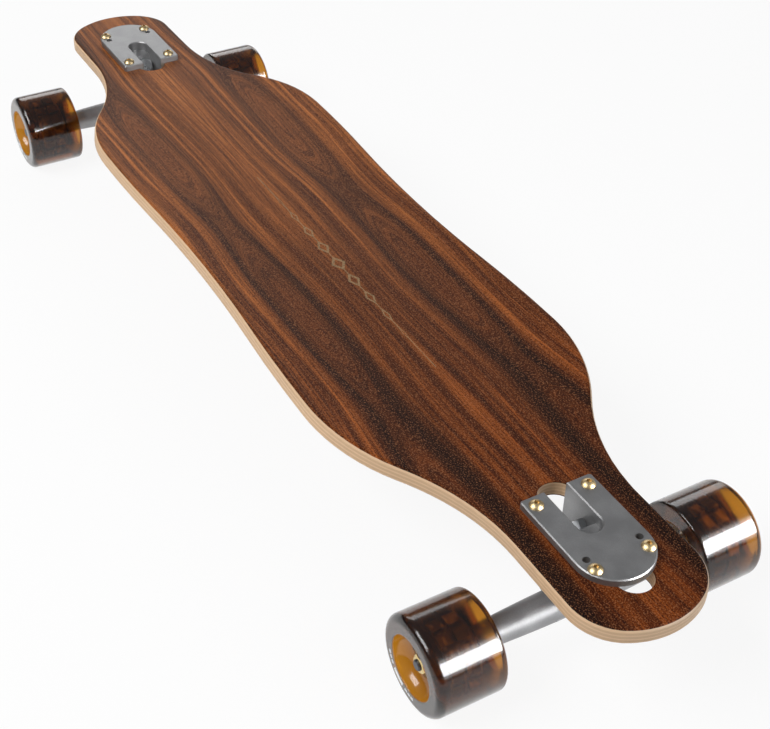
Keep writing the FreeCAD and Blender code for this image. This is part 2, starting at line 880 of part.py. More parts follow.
def build_bushing(label, where, low, high, low_radius, high_radius):
    """A turned urethane spring with eased rims."""
    body = new_body(label, where)
    edge = dim.bushing_edge
    loop = [
        (kingpin_bore, low),
        (low_radius - edge, low, (low_radius - edge, low + edge, LEFT)),
        (low_radius, low + edge),
        (high_radius, high - edge, (high_radius - edge, high - edge, LEFT)),
        (high_radius - edge, high),
        (kingpin_bore, high),
    ]
    revolved(body, "XZ_Plane", "V_Axis", [loop])
    return body


def build_washer(label, where, low, high, radius):
    body = new_body(label, where)
    edge = dim.washer_edge
    loop = [
        (kingpin_bore, low),
        (radius - edge, low),
        (radius, low + edge),
        (radius, high - edge),
        (radius - edge, high),
        (kingpin_bore, high),
    ]
    revolved(body, "XZ_Plane", "V_Axis", [loop])
    return body


def build_mounting_bolts(label, where):
    """Four domed bolts with a hexagon socket, heads on the plate."""
    body = new_body(label, where)
    head, shaft, top = dim.bolt_head_radius, dim.bolt_radius, dim.plate_thickness
    crown = top + dim.bolt_head_height
    brim = top + dim.bolt_head_edge
    rise = dim.bolt_head_height - dim.bolt_head_edge
    dome_radius = (head * head + rise * rise) / (rise * 2)
    end = -(deck_thickness + dim.nut_height + dim.bolt_protrusion)
    corner = placement(-bolt_x, 0, bolt_y)
    loop = [
        (0, end),
        (shaft, end),
        (shaft, top),
        (head, top),
        (head, brim, (0, crown - dome_radius, LEFT)),
        (0, crown),
    ]
    shank = revolved(body, "XZ_Plane", "V_Axis", [loop], corner)
    doc.recompute()
    socket_sketch = new_sketch(body, "XY_Plane", placement(-bolt_x, -bolt_y, crown))
    draw_hexagon(socket_sketch, dim.bolt_socket_flats)
    socket = extrude(body, "Pocket", socket_sketch, dim.bolt_socket_depth)
    steps = [
        linear_step(body, "X_Axis", dim.bolt_pitch_length),
        linear_step(body, "Y_Axis", dim.bolt_pitch_width),
    ]
    repeated(body, [shank, socket], steps)
    return body


def build_mounting_nuts(label, where):
    body = new_body(label, where)
    low = -(deck_thickness + dim.nut_height)
    sketch = new_sketch(body, "XY_Plane", placement(-bolt_x, -bolt_y, low))
    draw_hexagon(sketch, dim.nut_flats)
    draw_circle(sketch, 0, 0, dim.bolt_radius + dim.thread_fit)
    nut = extrude(body, "Pad", sketch, dim.nut_height)
    corner = placement(-bolt_x, 0, bolt_y)
    trim = grooved(body, "XZ_Plane", "V_Axis", [chamfer_loop(dim.nut_flats, low, 1)], corner)
    steps = [
        linear_step(body, "X_Axis", dim.bolt_pitch_length),
        linear_step(body, "Y_Axis", dim.bolt_pitch_width),
    ]
    repeated(body, [nut, trim], steps)
    return body


# Trucks: pieces that steer

def build_hanger(label, where):
    """The yoke from the bushing ring to the arms, the two arms and the pivot stub."""
    body = new_body(label, where)
    ring = dim.ring_radius
    arm_x, arm_z = -dim.axle_to_kingpin, -dim.axle_rake
    wide = dim.yoke_half_width
    # The yoke's straight flanks touch the ring's circle.
    far_square = arm_x * arm_x + wide * wide
    flank = leg(root(far_square), ring)
    touch_x = (ring * arm_x + flank * wide) * ring / far_square
    touch_y = (ring * wide - flank * arm_x) * ring / far_square
    plan = [
        (arm_x, -wide),
        (touch_x, -touch_y, (0, 0, LEFT)),
        (touch_x, touch_y),
        (arm_x, wide),
    ]
    height = ring_half + dim.yoke_drop + ring_half
    yoke_sketch = loops_sketch(body, "XY_Plane", [plan], placement(0, 0, ring_half - height))
    yoke = extrude(body, "Pad", yoke_sketch, height)

    # Below the ring the yoke is cut away, and it slopes down to the arms above and below.
    slope = -dim.yoke_slope_start
    foot = slope - dim.yoke_slope_length
    past = ring + dim.overrun
    below = ring_half - height - dim.overrun
    under = [
        (slope, -ring_half),
        (foot, ring_half - height),
        (foot, below),
        (past, below),
        (past, -ring_half),
    ]
    above = [
        (slope, ring_half),
        (arm_x - dim.overrun, arm_z + dim.arm_centre_radius - dim.overrun),
        (arm_x - dim.overrun, ring_half + dim.overrun),
        (slope, ring_half + dim.overrun),
    ]
    cuts = loops_sketch(body, "XZ_Plane", [under, above])
    shaped = extrude(body, "Pocket", cuts, (wide + dim.overrun) * 2, middle=True)
    rim_levels = (ring_half.value, -ring_half.value)
    dress_edges(
        body,
        "Fillet",
        shaped,
        dim.yoke_round,
        lambda edge: any(edge_at(edge, "Z", level) for level in rim_levels)
        and not edge_at(edge, "X", slope.value),
    )

    # The arms taper outward on one long arc to the shoulders that the bearings stand against.
    arm_place = placement(arm_x, 0, arm_z)
    end, taper = hanger_end, dim.arm_taper_end
    tip, shoulder = dim.arm_end_radius, dim.arm_shoulder_radius
    swell = dim.arm_centre_radius - tip
    swell_radius = (taper * taper + swell * swell) / (swell * 2)
    arms = [
        (0, -end),
        (shoulder, -end),
        (tip, -taper, (dim.arm_centre_radius - swell_radius, 0, LEFT)),
        (tip, taper),
        (shoulder, end),
        (0, end),
    ]
    revolved(body, "XY_Plane", "V_Axis", [arms], arm_place)

    # The pivot stub stands on a boss and ends in a round tip inside the cup.
    boss_end = dim.boss_gap - dim.cup_mouth_distance
    stub = dim.stub_radius
    round_at = stub_tip + stub
    pivot = [
        (slope, 0),
        (slope, ring_half),
        (arm_x, dim.boss_radius),
        (boss_end, dim.boss_radius),
        (boss_end, stub),
        (round_at, stub, (round_at, 0, LEFT)),
        (stub_tip, 0),
    ]
    revolved(body, "XZ_Plane", "H_Axis", [pivot])

    # Raised lips keep the bushings central, and the kingpin passes with room to tilt.
    lip = dim.bushing_radius + dim.lip_gap
    lip_top = ring_half + dim.lip_height
    for low, high in ((ring_half, lip_top), (-lip_top, -ring_half)):
        revolved(body, "XZ_Plane", "V_Axis", [rectangle(lip, low, lip + dim.lip_wall, high)])
    hole = rectangle(0, -ring_half - dim.overrun, dim.ring_hole_radius, ring_half + dim.overrun)
    grooved(body, "XZ_Plane", "V_Axis", [hole])
    bore = rectangle(0, -end - dim.overrun, bearing_bore, end + dim.overrun)
    grooved(body, "XY_Plane", "V_Axis", [bore], arm_place)
    return body


def build_axle(label, where):
    body = new_body(label, where)
    radius, tip = dim.axle_radius, dim.axle_tip_chamfer
    loop = [
        (0, -axle_end),
        (radius - tip, -axle_end),
        (radius, tip - axle_end),
        (radius, axle_end - tip),
        (radius - tip, axle_end),
        (0, axle_end),
    ]
    revolved(body, "XY_Plane", "V_Axis", [loop])
    return body


def build_axle_nuts(label, where):
    body = new_body(label, where)
    bore = dim.axle_radius + dim.thread_fit
    nut = hexagon_pad(
        body, dim.axle_nut_flats, dim.axle_nut_height, axle_nut_at, "XZ_Plane", bore=bore
    )
    face = -(axle_nut_at + dim.axle_nut_height)
    trim = grooved(body, "XY_Plane", "V_Axis", [chamfer_loop(dim.axle_nut_flats, face, 1)])
    mirrored(body, [nut, trim])
    return body


def build_axle_rings(label, where, spans, radius):
    """Plain rings on the axle, the same on both sides of the truck."""
    body = new_body(label, where)
    loops = [rectangle(bearing_bore, low, radius, high) for low, high in spans]
    mirrored(body, [revolved(body, "XY_Plane", "V_Axis", loops)])
    return body


def race_corners(middle, wall_radius, land_radius, turn):
    """Half of a bearing race's section, with the ball groove in its land."""
    half = dim.bearing_width / 2
    groove = dim.ball_radius + dim.ball_clearance
    pitch = dim.ball_pitch_radius
    reach = leg(groove, pitch - land_radius)
    first, last = (-1, 1) if turn == RIGHT else (1, -1)
    return [
        (wall_radius, middle + half * first),
        (land_radius, middle + half * first),
        (land_radius, middle + reach * first, (pitch, middle, RIGHT)),
        (land_radius, middle + reach * last),
        (land_radius, middle + half * last),
        (wall_radius, middle + half * last),
    ]


def build_inner_races(label, where):
    body = new_body(label, where)
    middles = (inner_bearing_at + dim.bearing_width / 2, outer_bearing_at + dim.bearing_width / 2)
    loops = [race_corners(at, bearing_bore, dim.inner_land_radius, RIGHT) for at in middles]
    mirrored(body, [revolved(body, "XY_Plane", "V_Axis", loops)])
    return body


# Wheels, about their own middle with the axle along Y

def build_tyre(label, where):
    """The poured tyre: tread, a wide outer lip, flat side walls and a bowl on each side."""
    body = new_body(label, where)
    radius, half = dim.wheel_diameter / 2, dim.wheel_width / 2
    outer_lip, inner_lip = dim.outer_lip_radius, dim.inner_lip_radius
    bowl, curve = dim.bowl_radius, dim.bowl_curve_radius
    bowl_x = bowl - curve
    flange = dim.core_flange_radius + dim.bond_gap
    flange_y = half - leg(curve, flange - bowl_x)
    core = dim.core_radius + dim.bond_gap
    core_y = core_half() + dim.bond_gap
    loop = [
        (radius - inner_lip, -half, (radius - inner_lip, inner_lip - half, LEFT)),
        (radius, inner_lip - half),
        (radius, half - outer_lip, (radius - outer_lip, half - outer_lip, LEFT)),
        (radius - outer_lip, half),
        (bowl, half, (bowl_x, half, RIGHT)),
        (flange, flange_y),
        (flange, core_y),
        (core, core_y),
        (core, -core_y),
        (flange, -core_y),
        (flange, -flange_y, (bowl_x, -half, RIGHT)),
        (bowl, -half),
    ]
    revolved(body, "XY_Plane", "V_Axis", [loop])
    return body


def core_half():
    """Half the width of the core's drum."""
    return bearing_middle + dim.bearing_width / 2 - dim.core_end_inset


def build_core(label, where):
    """The hub moulding: two bearing seats, end flanges and a drum of moulded blocks."""
    body = new_body(label, where)
    drum, flange = dim.core_radius, dim.core_flange_radius
    half = core_half()
    curve = dim.bowl_curve_radius
    flange_y = dim.wheel_width / 2 - leg(curve, flange - dim.bowl_radius + curve)
    seat = dim.bearing_radius + dim.bearing_seat_gap
    shoulder, step = dim.core_shoulder_radius, dim.spacer_length / 2
    groove, groove_r = dim.core_groove_width / 2, drum - dim.core_groove_depth
    loop = [
        (shoulder, -step),
        (seat, -step),
        (seat, -flange_y),
        (flange, -flange_y),
        (flange, -half),
        (drum, -half),
        (drum, -groove),
        (groove_r, -groove),
        (groove_r, groove),
        (drum, groove),
        (drum, half),
        (flange, half),
        (flange, flange_y),
        (seat, flange_y),
        (seat, step),
        (shoulder, step),
    ]
    revolved(body, "XY_Plane", "V_Axis", [loop])
    slot = dim.core_slot_width / 2
    slot_sketch = loops_sketch(
        body, "XZ_Plane", [rectangle(groove_r, -slot, drum + dim.overrun, slot)]
    )
    cut = extrude(body, "Pocket", slot_sketch, half * 2, middle=True)
    repeated(body, [cut], [polar_step(body, "Y_Axis", dim.core_slot_count)])
    return body


def build_outer_races(label, where):
    body = new_body(label, where)
    middles = (-bearing_middle, bearing_middle)
    loops = [race_corners(at, dim.bearing_radius, dim.outer_land_radius, LEFT) for at in middles]
    revolved(body, "XY_Plane", "V_Axis", loops)
    return body


def build_shields(label, where):
    """Four thin rings, one on each face of the two bearings."""
    body = new_body(label, where)
    inner = dim.inner_land_radius + dim.shield_gap
    outer = dim.outer_land_radius - dim.thread_fit
    outside = dim.bearing_width / 2 - dim.shield_inset
    inside = outside - dim.shield_thickness
    loops = []
    for middle in (-bearing_middle, bearing_middle):
        loops.append(rectangle(inner, middle - outside, outer, middle - inside))
        loops.append(rectangle(inner, middle + inside, outer, middle + outside))
    revolved(body, "XY_Plane", "V_Axis", loops)
    return body


def ball_steps(body):
    return [
        polar_step(body, "Y_Axis", dim.ball_count),
        linear_step(body, "Y_Axis", bearing_step),
    ]


def build_balls(label, where):
    body = new_body(label, where)
    radius = dim.ball_radius
    half_disc = [(0, -radius, (0, 0, LEFT)), (0, radius)]
    first = placement(dim.ball_pitch_radius, -bearing_middle, 0)
    ball = revolved(body, "XY_Plane", "V_Axis", [half_disc], first)
    repeated(body, [ball], ball_steps(body))
    return body


def build_cages(label, where):
    """A ring beside each row of balls, with a round pocket for every ball."""
    body = new_body(label, where)
    loops = []
    for middle in (-bearing_middle, bearing_middle):
        low, high = middle + dim.cage_front, middle + dim.cage_back
        loops.append(rectangle(dim.cage_inner_radius, low, dim.cage_outer_radius, high))
    revolved(body, "XY_Plane", "V_Axis", loops)
    radius = dim.ball_radius + dim.ball_clearance
    half_disc = [(0, -radius, (0, 0, LEFT)), (0, radius)]
    first = placement(dim.ball_pitch_radius, -bearing_middle, 0)
    pocket = grooved(body, "XY_Plane", "V_Axis", [half_disc], first)
    repeated(body, [pocket], ball_steps(body))
    return body


# Assembly

def build_truck(end_name, end):
    """All pieces of one truck, fixed and steering, with its two wheels."""
    truck = placement(truck_x * end, 0, deck_top, angle=0 if end > 0 else FULL_TURN / 2)
    tilt = f"{truck} * {placement(ring_x, 0, ring_z, axis=(0, 1, 0), angle=-dim.pivot_angle)}"
    axle = f"{truck} * {placement(-dim.axle_setback, 0, -dim.axle_drop)}"
    bushing = dim.bushing_radius
    low_bushing = roadside_washer_high
    pieces = [
        build_baseplate(f"{end_name}_baseplate", truck),
        build_pivot_cup(f"{end_name}_pivot_cup", tilt),
        build_kingpin(f"{end_name}_kingpin", tilt),
        build_kingpin_nut(f"{end_name}_kingpin_nut", tilt),
        build_bushing(
            f"{end_name}_boardside_bushing", tilt, ring_half, boardside_washer_low, bushing, bushing
        ),
        build_bushing(
            f"{end_name}_roadside_bushing", tilt, low_bushing, -ring_half, dim.cone_end_radius, bushing
        ),
        build_washer(
            f"{end_name}_boardside_washer",
            tilt,
            boardside_washer_low,
            seat_low,
            dim.boardside_washer_radius,
        ),
        build_washer(
            f"{end_name}_roadside_washer",
            tilt,
            nut_top,
            roadside_washer_high,
            dim.roadside_washer_radius,
        ),
        build_mounting_bolts(f"{end_name}_mounting_bolts", truck),
        build_mounting_nuts(f"{end_name}_mounting_nuts", truck),
        build_hanger(f"{end_name}_hanger", tilt),
        build_axle(f"{end_name}_axle", axle),
        build_axle_nuts(f"{end_name}_axle_nuts", axle),
        build_axle_rings(
            f"{end_name}_speed_washers",
            axle,
            [(hanger_end, inner_bearing_at), (outer_washer_at, axle_nut_at)],
            dim.inner_land_radius,
        ),
        build_inner_races(f"{end_name}_bearing_inner_races", axle),
        build_axle_rings(
            f"{end_name}_bearing_spacers",
            axle,
            [(inner_bearing_at + dim.bearing_width, outer_bearing_at)],
            dim.spacer_radius,
        ),
    ]
    for side_name, side in (("left", 1), ("right", -1)):
        wheel = f"{axle} * {placement(0, wheel_y * side * end, 0)}"
        outward_turn = 0 if side == end else FULL_TURN / 2
        facing_out = f"{wheel} * {placement(0, 0, 0, angle=outward_turn)}"
        prefix = f"{end_name}_{side_name}"
        pieces += [
            build_tyre(f"{prefix}_tyre", facing_out),
            build_core(f"{prefix}_core", wheel),
            build_outer_races(f"{prefix}_bearing_outer_races", wheel),
            build_shields(f"{prefix}_bearing_shields", wheel),
            build_balls(f"{prefix}_bearing_balls", wheel),
            build_cages(f"{prefix}_bearing_cages", wheel),
        ]
    return pieces


def check_and_write(pieces):
    """Stop on any failed object or bad shape, then write one file for each piece."""
    doc.recompute()
    failed = [item.Label for item in doc.Objects if {"Invalid", "Error"} & set(item.State)]
    if failed:
        raise RuntimeError(f"these objects failed: {failed}")
    for piece in pieces:
        if piece.Shape.isNull() or not piece.Shape.isValid() or not piece.Shape.Solids:
            raise RuntimeError(f"{piece.Label} has no sound shape")
    os.makedirs("parts", exist_ok=True)
    for piece in pieces:
        piece.Shape.exportStep(f"parts/{piece.Label}.step")
        print(piece.Label, len(piece.Shape.Solids), round(piece.Shape.Volume, 1))


all_pieces = build_deck() + build_truck("front", 1) + build_truck("rear", -1)
check_and_write(all_pieces)
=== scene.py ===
import math

import bmesh
import bpy
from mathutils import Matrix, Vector


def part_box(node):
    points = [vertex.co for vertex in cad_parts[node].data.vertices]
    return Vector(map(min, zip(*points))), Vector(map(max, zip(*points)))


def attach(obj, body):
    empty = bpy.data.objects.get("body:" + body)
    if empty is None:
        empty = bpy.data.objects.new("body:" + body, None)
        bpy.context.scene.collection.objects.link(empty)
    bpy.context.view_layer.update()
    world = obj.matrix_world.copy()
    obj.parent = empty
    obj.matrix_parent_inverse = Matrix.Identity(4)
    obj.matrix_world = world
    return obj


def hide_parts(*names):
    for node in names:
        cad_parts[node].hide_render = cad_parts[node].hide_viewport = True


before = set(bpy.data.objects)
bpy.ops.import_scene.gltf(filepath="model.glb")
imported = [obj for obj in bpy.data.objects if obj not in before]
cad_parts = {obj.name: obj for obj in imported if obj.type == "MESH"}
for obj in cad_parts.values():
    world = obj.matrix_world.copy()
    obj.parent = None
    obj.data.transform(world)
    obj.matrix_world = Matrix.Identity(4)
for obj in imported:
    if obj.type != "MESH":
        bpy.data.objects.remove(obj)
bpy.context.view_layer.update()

bl_info = {
    "name": "Longboard Finisher",
    "version": (1, 0, 0),
    "blender": (4, 5, 0),
    "location": "3D View > Sidebar > Longboard",
    "description": "Finishes a drop-through longboard and stands it in a white studio",
    "category": "Object",
}

# Lengths are in metres. +X is the front of the board, +Y its left and +Z up.

ENDS = ("front", "rear")
SIDES = ("left", "right")


def wheel_names():
    return [f"{end}_{side}" for end in ENDS for side in SIDES]


def box_middle(node):
    low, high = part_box(node)
    return (low + high) / 2


def box_size(node):
    low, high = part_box(node)
    return high - low


# Settings that a user would change

def length(name, description, default):
    return bpy.props.FloatProperty(
        name=name, description=description, default=default, subtype="DISTANCE", unit="LENGTH"
    )


def share(name, description, default):
    return bpy.props.FloatProperty(
        name=name, description=description, default=default, min=0, max=1, subtype="FACTOR"
    )


def amount(name, description, default):
    return bpy.props.FloatProperty(name=name, description=description, default=default)


def colour(name, description, default):
    return bpy.props.FloatVectorProperty(
        name=name, description=description, default=default, size=3, min=0, max=1, subtype="COLOR"
    )


class DeckFinish(bpy.types.PropertyGroup):
    """Colours and sizes of the deck's wood."""

    walnut_pale: colour("Pale walnut", "Sapwood far from the heart", (0.238, 0.075, 0.0160))
    walnut_red: colour("Red walnut", "Main colour of the veneer", (0.188, 0.056, 0.0118))
    walnut_brown: colour("Brown walnut", "Heartwood inside the dark rings", (0.138, 0.043, 0.0115))
    walnut_dark: colour("Dark walnut", "The dark rings of each leaf", (0.024, 0.0075, 0.0032))
    heart: length("Heart", "Distance of each leaf's heart from the centreline", 0.057)
    eye_pitch: length("Eye pitch", "Spacing of the eyes along the heart", 0.27)
    eye_start: length("Eye start", "Place of one eye, along the board", 0.075)
    eye_dip: length("Eye dip", "How deep the heart lies between two eyes", 0.013)
    streak: length("Streak", "Distance of the dark front streaks from the centreline", 0.039)
    # The grit colour is a painted glint on the specks of clear grit
    grit: colour("Grit", "Clear grit where it catches the light", (0.35, 0.145, 0.062))
    print_gold: colour("Gold ink", "Ink of the lozenge band", (0.34, 0.25, 0.13))
    print_middle: length("Print middle", "Middle of the lozenge band, along the board", 0.045)
    print_reach: length("Print reach", "Half the length of the lozenge band", 0.13)
    print_pitch: length("Print pitch", "Spacing of the lozenges", 0.026)
    print_width: length("Print width", "Half the width of the widest lozenge", 0.0062)
    print_edge: length("Print edge", "Softness of the band's two ends", 0.001)
    hairline_reach: length("Hairline reach", "Half the length of the line through the band", 0.15)
    hairline_width: length("Hairline width", "Half the width of that line", 0.0004)
    maple: colour("Maple", "Long-grain plies", (0.72, 0.49, 0.295))
    maple_end: colour("End-grain maple", "Cross plies, seen end on", (0.50, 0.315, 0.18))
    glue: colour("Glue line", "Thin dark line between plies", (0.30, 0.185, 0.10))
    veneer: length("Veneer", "Thickness of each walnut face", 0.0008)
    ply: length("Ply", "Thickness of one ply", 0.00149)
    flat_half: length("Flat half width", "Half the flat strip in the middle of the concave", 0.031)
    concave_radius: length("Concave radius", "Radius of the rails' arcs", 0.43)


class TruckFinish(bpy.types.PropertyGroup):
    """Colours of the trucks and their hardware."""

    plate: colour("Base plate", "Satin cast base plate", (0.30, 0.30, 0.303))
    hanger: colour("Hanger", "Satin cast hanger", (0.36, 0.362, 0.37))
    brass: colour("Brass", "Polished mounting bolts", (0.64, 0.49, 0.27))
    gilt: colour("Gilt", "Yellow-plated axle nuts", (0.72, 0.55, 0.26))
    zinc: colour("Zinc", "Plated nuts and washers", (0.62, 0.59, 0.52))
    steel: colour("Steel", "Kingpin and bearing steel", (0.40, 0.41, 0.42))
    axle: colour("Axle", "Blackened axle steel", (0.10, 0.105, 0.12))
    bushing: colour("Bushing", "Urethane springs", (0.36, 0.12, 0.02))
    cup: colour("Pivot cup", "Urethane of the pivot cup", (0.03, 0.03, 0.032))
    cage: colour("Ball cage", "Nylon of the bearing cages", (0.55, 0.52, 0.44))


class WheelFinish(bpy.types.PropertyGroup):
    """Sizes and colours of the wheels."""

    amber: colour("Amber", "Colour of light that has gone through the urethane", (0.93, 0.44, 0.05))
    smoke: colour("Smoke", "Colour that is left as the urethane gets thicker", (0.57, 0.46, 0.08))
    smoke_density: amount("Smoke density", "How strongly the urethane absorbs, per metre", 100)
    core: colour("Core", "Moulded hub inside the urethane", (0.15, 0.093, 0.036))
    # Painted light: the amber of the core's blotches stands in for light gathering inside the wheel
    core_glow: colour("Core glow", "Where light gathers in the hub", (0.62, 0.40, 0.14))
    mark: colour("Mark", "Printed dashes on the outer face", (0.85, 0.85, 0.83))
    outer_lip: length("Outer lip radius", "Rounding between tread and outer side wall", 0.0055)
    inner_lip: length("Inner lip radius", "Rounding between tread and inner side wall", 0.0025)
    bowl: length("Bowl radius", "Mouth of the bowl in the side wall", 0.0225)
    bowl_curve: length("Bowl curve", "Radius of the bowl's wall", 0.012)
    bowl_edge: length("Bowl edge", "Easing of the bowl's mouth", 0.0009)
    inner: length("Inner radius", "Where the urethane ends, inside the core", 0.01425)
    mark_radius: length("Mark radius", "Middle of the printed dashes", 0.0268)
    segments: bpy.props.IntProperty(
        name="Segments", description="Faces round each wheel", default=144, min=24
    )


class StudioSettings(bpy.types.PropertyGroup):
    """The camera, the white floor and the room."""

    camera_place: bpy.props.FloatVectorProperty(
        name="Camera place",
        description="Where the camera stands",
        default=(0.8468, -0.4277, 0.7255),
        subtype="TRANSLATION",
        unit="LENGTH",
    )
    camera_turn: bpy.props.FloatVectorProperty(
        name="Camera turn",
        description="Rotation of the camera",
        default=tuple(math.radians(angle) for angle in (51.0846, -0.9779, 60.2479)),
        subtype="EULER",
        unit="ROTATION",
    )
    focal_length: bpy.props.FloatProperty(
        name="Focal length",
        description="In millimetres, for the sensor's width",
        default=64.33,
        unit="CAMERA",
    )
    sensor_width: bpy.props.FloatProperty(
        name="Sensor width", description="In millimetres", default=36.0, unit="CAMERA"
    )
    floor_size: length("Floor size", "Side of the square floor", 200.0)
    floor_glow: share("Floor glow", "Share of the floor's white that takes no shadow", 0.9)
    floor_white: colour("Floor", "Colour of the floor", (0.9, 0.9, 0.9))
    sky_low: colour("Room low", "The room near the horizon", (0.06, 0.06, 0.063))
    sky_high: colour("Room high", "The room overhead", (0.20, 0.203, 0.21))


# Shader maths

class Signal:
    """A node socket; arithmetic on it adds Math nodes to its finish."""

    def __init__(self, finish, socket):
        self.finish = finish
        self.socket = socket

    def math(self, operation, *others):
        sockets = dict(enumerate((self, *others)))
        return self.finish.node("ShaderNodeMath", {"operation": operation}, sockets)

    def __add__(self, other):
        return self.math("ADD", other)

    def __sub__(self, other):
        return self.math("SUBTRACT", other)

    def __rsub__(self, other):
        return self.finish.node("ShaderNodeMath", {"operation": "SUBTRACT"}, {0: other, 1: self})

    def __mul__(self, other):
        return self.math("MULTIPLY", other)

    def __truediv__(self, other):
        return self.math("DIVIDE", other)

    def __rtruediv__(self, other):
        return self.finish.node("ShaderNodeMath", {"operation": "DIVIDE"}, {0: other, 1: self})

    __radd__ = __add__
    __rmul__ = __mul__

    def absolute(self):
        return self.math("ABSOLUTE")

    def at_least(self, other):
        return self.math("MAXIMUM", other)

    def at_most(self, other):
        return self.math("MINIMUM", other)

    def fraction(self):
        return self.math("FRACT")

    def rises(self, start, end):
        """0 below start, 1 above end and a smooth step between; falls where start is the larger."""
        return self.finish.node(
            "ShaderNodeMapRange",
            {"interpolation_type": "SMOOTHSTEP"},
            {"Value": self, "From Min": start, "From Max": end},
        )


class Finish:
    """A material, or the world, while its nodes are added."""

    def __init__(self, tree):
        self.tree = tree
        self.tree.nodes.clear()

    def node(self, kind, settings=None, sockets=None, output=0):
        """Add one node: its settings first, then the values or links of its sockets."""
        made = self.tree.nodes.new(kind)
        for name, value in (settings or {}).items():
            if name == "stops":
                set_stops(made.color_ramp, value)
            else:
                setattr(made, name, value)
        for name, value in (sockets or {}).items():
            if isinstance(value, Signal):
                self.tree.links.new(value.socket, made.inputs[name])
            else:
                made.inputs[name].default_value = value
        return Signal(self, made.outputs[output]) if made.outputs else None

    def place(self):
        """The three coordinates of a point of the board at rest."""
        point = self.node("ShaderNodeTexCoord", output="Object")
        return [
            self.node("ShaderNodeSeparateXYZ", None, {"Vector": point}, axis) for axis in "XYZ"
        ]

    def spot(self, along=1, across=1, up=1):
        """A point of the board at rest, its coordinates multiplied for a noise to follow."""
        point = self.node("ShaderNodeTexCoord", output="Object")
        stretch = (along, across, up)
        return self.node("ShaderNodeVectorMath", {"operation": "MULTIPLY"}, {0: point, 1: stretch})

    def vector(self, x, y, z):
        return self.node("ShaderNodeCombineXYZ", None, {"X": x, "Y": y, "Z": z})

    def noise(self, vector, scale=1.0, detail=2.0, roughness=0.5, distortion=0.0):
        return self.node(
            "ShaderNodeTexNoise",
            None,
            {
                "Vector": vector,
                "Scale": scale,
                "Detail": detail,
                "Roughness": roughness,
                "Distortion": distortion,
            },
        )

    def swing(self, vector, detail=2.0):
        """Noise about zero."""
        return self.noise(vector, detail=detail) - 0.5

    def ramp(self, value, stops):
        return self.node("ShaderNodeValToRGB", {"stops": stops}, {"Fac": value})

    def mix(self, factor, first, second, blend="MIX"):
        """Mix two colours; either can be a signal or a plain colour."""
        first, second = (
            each if isinstance(each, Signal) else opaque(each) for each in (first, second)
        )
        return self.node(
            "ShaderNodeMix",
            {"data_type": "RGBA", "blend_type": blend},
            {0: factor, 6: first, 7: second},
            output=2,
        )

    def bump(self, height, distance, strength=1.0):
        return self.node(
            "ShaderNodeBump", None, {"Height": height, "Distance": distance, "Strength": strength}
        )

    def surface(self, **sockets):
        named = {name.replace("_", " "): value for name, value in sockets.items()}
        return self.node("ShaderNodeBsdfPrincipled", None, named)

    def output(self, kind="Material", **sockets):
        self.node(f"ShaderNodeOutput{kind}", None, sockets)


def set_stops(ramp, stops):
    """Replace a colour ramp's stops by (position, colour) pairs."""
    while len(ramp.elements) < len(stops):
        ramp.elements.new(1.0)
    for element, (position, shade) in zip(ramp.elements, stops):
        element.position = position
        element.color = opaque(shade)


def opaque(shade):
    return (*shade[:3], 1.0)


def tinted(shade, factor):
    return tuple(min(channel * factor, 1.0) for channel in shade)


def new_finish(name):
    material = bpy.data.materials.new(name)
    material.use_nodes = True
    return material, Finish(material.node_tree)


def paint(nodes, material):
    """Give CAD nodes one finish."""
    for name in nodes:
        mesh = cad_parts[name].data
        mesh.materials.clear()
        mesh.materials.append(material)


# Wood

# Share of the way from a leaf's heart to the centreline, the wood there and its brightness
RINGS = (
    (0.0, "walnut_brown", 1.15),
    (0.12, "walnut_brown", 1.0),
    (0.20, "walnut_brown", 0.72),
    (0.265, "walnut_dark", 1.0),
    (0.31, "walnut_dark", 1.5),
    (0.37, "walnut_red", 0.75),
    (0.48, "walnut_pale", 1.0),
    (0.60, "walnut_red", 1.0),
    (0.72, "walnut_pale", 0.95),
    (0.86, "walnut_red", 0.95),
    (1.0, "walnut_pale", 1.0),
)

# The factors of a noise's coordinates are cycles per metre; a lone number picks a slice of it.

# How far the heart, the growth lines and the dark streaks wander sideways
HEART_SWAY = 0.030
GROWTH_SWAY = 0.012
STREAK_SWAY = 0.02

# Stretches over which the wood changes, or its painted sheen and shade, along the board or out from
# the centreline or a streak
FIGURE_GROWS_SHEEN_FADES = (-0.25, 0.15)
TAIL_TO_NOSE = (-0.35, 0.47)
WAIST_STREAK = (-0.02, 0.14)
NOSE_STREAK = (0.16, 0.32)
STREAK_EDGE = (0.014, 0.003)
LEAF = (0.0, 0.1)
RAIL = (0.071, 0.088)

# Pairs of tints, for the low and the high end of what they follow
GROWTH_TINTS = ((0.44, 0.38, 0.36), (1.34, 1.32, 1.26))
FINE_TINTS = ((0.57, 0.52, 0.49), (1.33, 1.33, 1.31))
# Painted sheen and shade: the tail is lightened and greyed as if by sheen, and the nose is darkened
# as if in shade
SHEEN_TO_SHADE_TINTS = ((1.42, 1.60, 2.05), (0.78, 0.59, 0.39))
RAIL_TINTS = ((0.94, 0.91, 0.88), (1.15, 1.12, 1.06))
GRIT_SHADOW = (0.38, 0.35, 0.34)

# Heights of the bumps
GRIT_RELIEF = 0.00022
PLY_RELIEF = 0.00012


def growth_ring(wood, deck, x, across, sway):
    """Distance from a leaf's heart, which dips and rises so that the rings close into eyes."""
    shift = wood.swing(wood.vector(x * 1.3, 2.1, 0.2), detail=1.0)
    step = ((x - deck.eye_start) / deck.eye_pitch + shift * 0.35).math("WRAP", 0.5, -0.5)
    dip = step.absolute().rises(0.0, 0.5) * deck.eye_dip
    aside = across - deck.heart + sway * HEART_SWAY
    return (aside * aside + dip * dip).math("SQRT")


